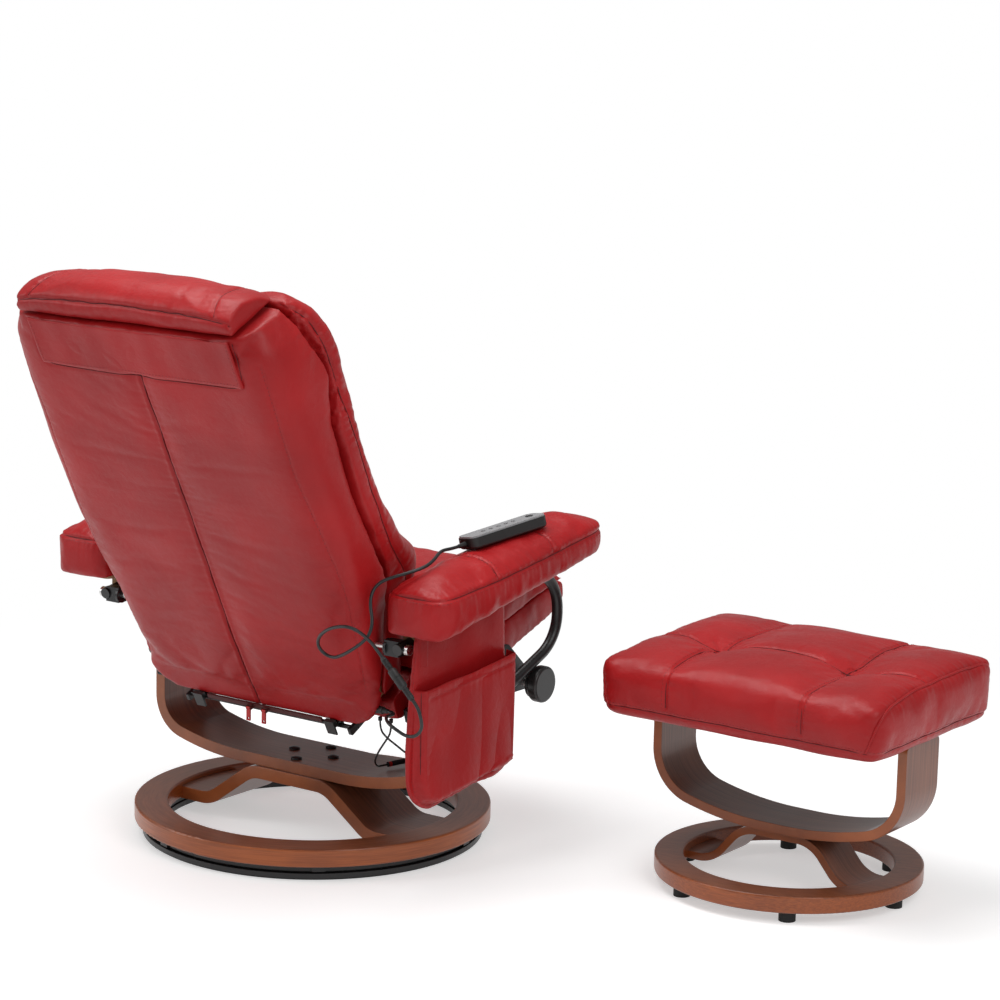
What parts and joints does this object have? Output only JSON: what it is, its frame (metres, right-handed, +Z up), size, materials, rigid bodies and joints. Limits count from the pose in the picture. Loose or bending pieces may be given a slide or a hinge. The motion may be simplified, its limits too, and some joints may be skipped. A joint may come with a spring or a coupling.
{
  "type": "reflexology chair",
  "caption": "Reclining leather armchair on a swivelling bent-wood base, with side pocket, corded handset and a matching footstool.",
  "frame": {"origin": "where the chair's swivel axis meets the floor", "axes": "+Z up, the chair faces -Y, the sitter's right hand and the footstool are on -X"},
  "size_m": [1.49, 1.0004, 1.0059],
  "materials": {
    "red_leather": "semi-matte upholstery leather",
    "cherry_wood": "satin lacquered bent plywood",
    "plain_plywood": "raw plywood",
    "black_steel": "satin black paint",
    "bright_steel": "zinc-plated",
    "black_plastic": "moulded, satin",
    "black_cord": "soft cord sheath",
    "black_rubber": "matt",
    "grey_plate": "satin",
    "key_print": "satin",
    "red_pull": "woven pull, satin"
  },
  "bodies": {
    "floor_base": {"turntable_lower_ring": "black_steel", "turntable_floor_band": "black_rubber", "turntable_balls": "bright_steel"},
    "swivel": {"turntable_upper_ring": "black_steel", "turntable_clips": "black_plastic", "base_ring": "cherry_wood", "base_bridge": "cherry_wood", "u_frame": "cherry_wood", "frame_bolts": "bright_steel", "frame_bolt_caps": "black_plastic", "side_rail_left": "black_steel", "side_rail_right": "black_steel", "cross_tube": "black_steel", "knob_studs": "bright_steel", "arm_tube_left": "black_steel", "arm_tube_right": "black_steel", "arm_tube_caps": "black_plastic", "rear_brackets": "black_steel", "pivot_bolts": "bright_steel", "arm_boards": "plain_plywood", "armrest_left": "red_leather", "armrest_right": "red_leather", "side_pocket": "red_leather", "pocket_strap": "black_plastic", "handset_case": "black_plastic", "handset_face": "grey_plate", "handset_relief": "black_cord", "handset_cord": "black_cord", "cord_connector": "black_plastic", "connector_tail": "black_cord"},
    "knob_left": {"tension_knob_left": "black_plastic"},
    "knob_right": {"tension_knob_right": "black_plastic"},
    "power_key": {"handset_power_key": "key_print"},
    "backrest": {"back_shell": "red_leather", "back_frame": "plain_plywood", "back_cushion": "red_leather", "back_flap": "red_leather", "head_cushion": "red_leather", "zip_track": "black_plastic", "hinge_clips": "black_steel", "cable_gland": "black_plastic"},
    "pull_left": {"zip_pull_left": "red_pull"},
    "pull_right": {"zip_pull_right": "red_pull"},
    "seat": {"seat_cushion": "red_leather", "seat_base": "red_leather", "seat_runners": "black_steel", "seat_hinge_rod": "black_steel", "cable_loop": "black_cord", "cable_fittings": "black_plastic"},
    "stool": {"stool_ring": "cherry_wood", "stool_feet": "black_rubber", "stool_bridge": "cherry_wood", "stool_u_frame": "cherry_wood", "stool_board": "plain_plywood", "stool_cushion": "red_leather"},
    "key_1": {"handset_key_1": "key_print"},
    "key_2": {"handset_key_2": "key_print"},
    "key_3": {"handset_key_3": "key_print"},
    "key_4": {"handset_key_4": "key_print"},
    "key_5": {"handset_key_5": "key_print"}
  },
  "joints": [
    {"name": "swivel", "type": "hinge", "parent": "floor_base", "child": "swivel", "pos_m": [0, 0, 0.013], "axis": [0, 0, 1], "continuous": true},
    {"name": "back_recline", "type": "hinge", "parent": "swivel", "child": "backrest", "pos_m": [0, 0.17206, 0.40402], "axis": [-1, 0, 0], "range_deg": [0, 18], "deforming": ["connector_tail"]},
    {"name": "seat_slide", "type": "slide", "parent": "swivel", "child": "seat", "axis": [0, -0.9613, 0.2756], "range_m": [0, 0.0535]},
    {"name": "knob_left_turn", "type": "hinge", "parent": "swivel", "child": "knob_left", "pos_m": [0.326, -0.21, 0.275], "axis": [1, 0, 0], "continuous": true},
    {"name": "knob_right_turn", "type": "hinge", "parent": "swivel", "child": "knob_right", "pos_m": [-0.326, -0.21, 0.275], "axis": [1, 0, 0], "continuous": true},
    {"name": "stool_slide", "type": "slide", "parent": "floor_base", "child": "stool", "axis": [0, -1, 0], "range_m": [0, 0.3]},
    {"name": "zip_pull_left_swing", "type": "hinge", "parent": "backrest", "child": "pull_left", "pos_m": [0.028, 0.14253, 0.24107], "axis": [1, 0, 0], "range_deg": [-25, 110]},
    {"name": "zip_pull_right_swing", "type": "hinge", "parent": "backrest", "child": "pull_right", "pos_m": [-0.006, 0.14253, 0.24107], "axis": [1, 0, 0], "range_deg": [-25, 110]},
    {"name": "key_1_press", "type": "slide", "parent": "swivel", "child": "key_1", "axis": [-0.1798, -0.0936, -0.9792], "range_m": [0, 0.001], "stiffness_N_per_m": 400, "springref_m": -0.0005},
    {"name": "key_2_press", "type": "slide", "parent": "swivel", "child": "key_2", "axis": [-0.1798, -0.0936, -0.9792], "range_m": [0, 0.001], "stiffness_N_per_m": 400, "springref_m": -0.0005},
    {"name": "key_3_press", "type": "slide", "parent": "swivel", "child": "key_3", "axis": [-0.1798, -0.0936, -0.9792], "range_m": [0, 0.001], "stiffness_N_per_m": 400, "springref_m": -0.0005},
    {"name": "key_4_press", "type": "slide", "parent": "swivel", "child": "key_4", "axis": [-0.1798, -0.0936, -0.9792], "range_m": [0, 0.001], "stiffness_N_per_m": 400, "springref_m": -0.0005},
    {"name": "key_5_press", "type": "slide", "parent": "swivel", "child": "key_5", "axis": [-0.1798, -0.0936, -0.9792], "range_m": [0, 0.001], "stiffness_N_per_m": 400, "springref_m": -0.0005},
    {"name": "power_key_press", "type": "slide", "parent": "swivel", "child": "power_key", "axis": [-0.1798, -0.0936, -0.9792], "range_m": [0, 0.001], "stiffness_N_per_m": 600, "springref_m": -0.0005}
  ],
  "couplings": [
    {"joint": "seat_slide", "follows": "back_recline", "m_per_rad": 0.17}
  ]
}
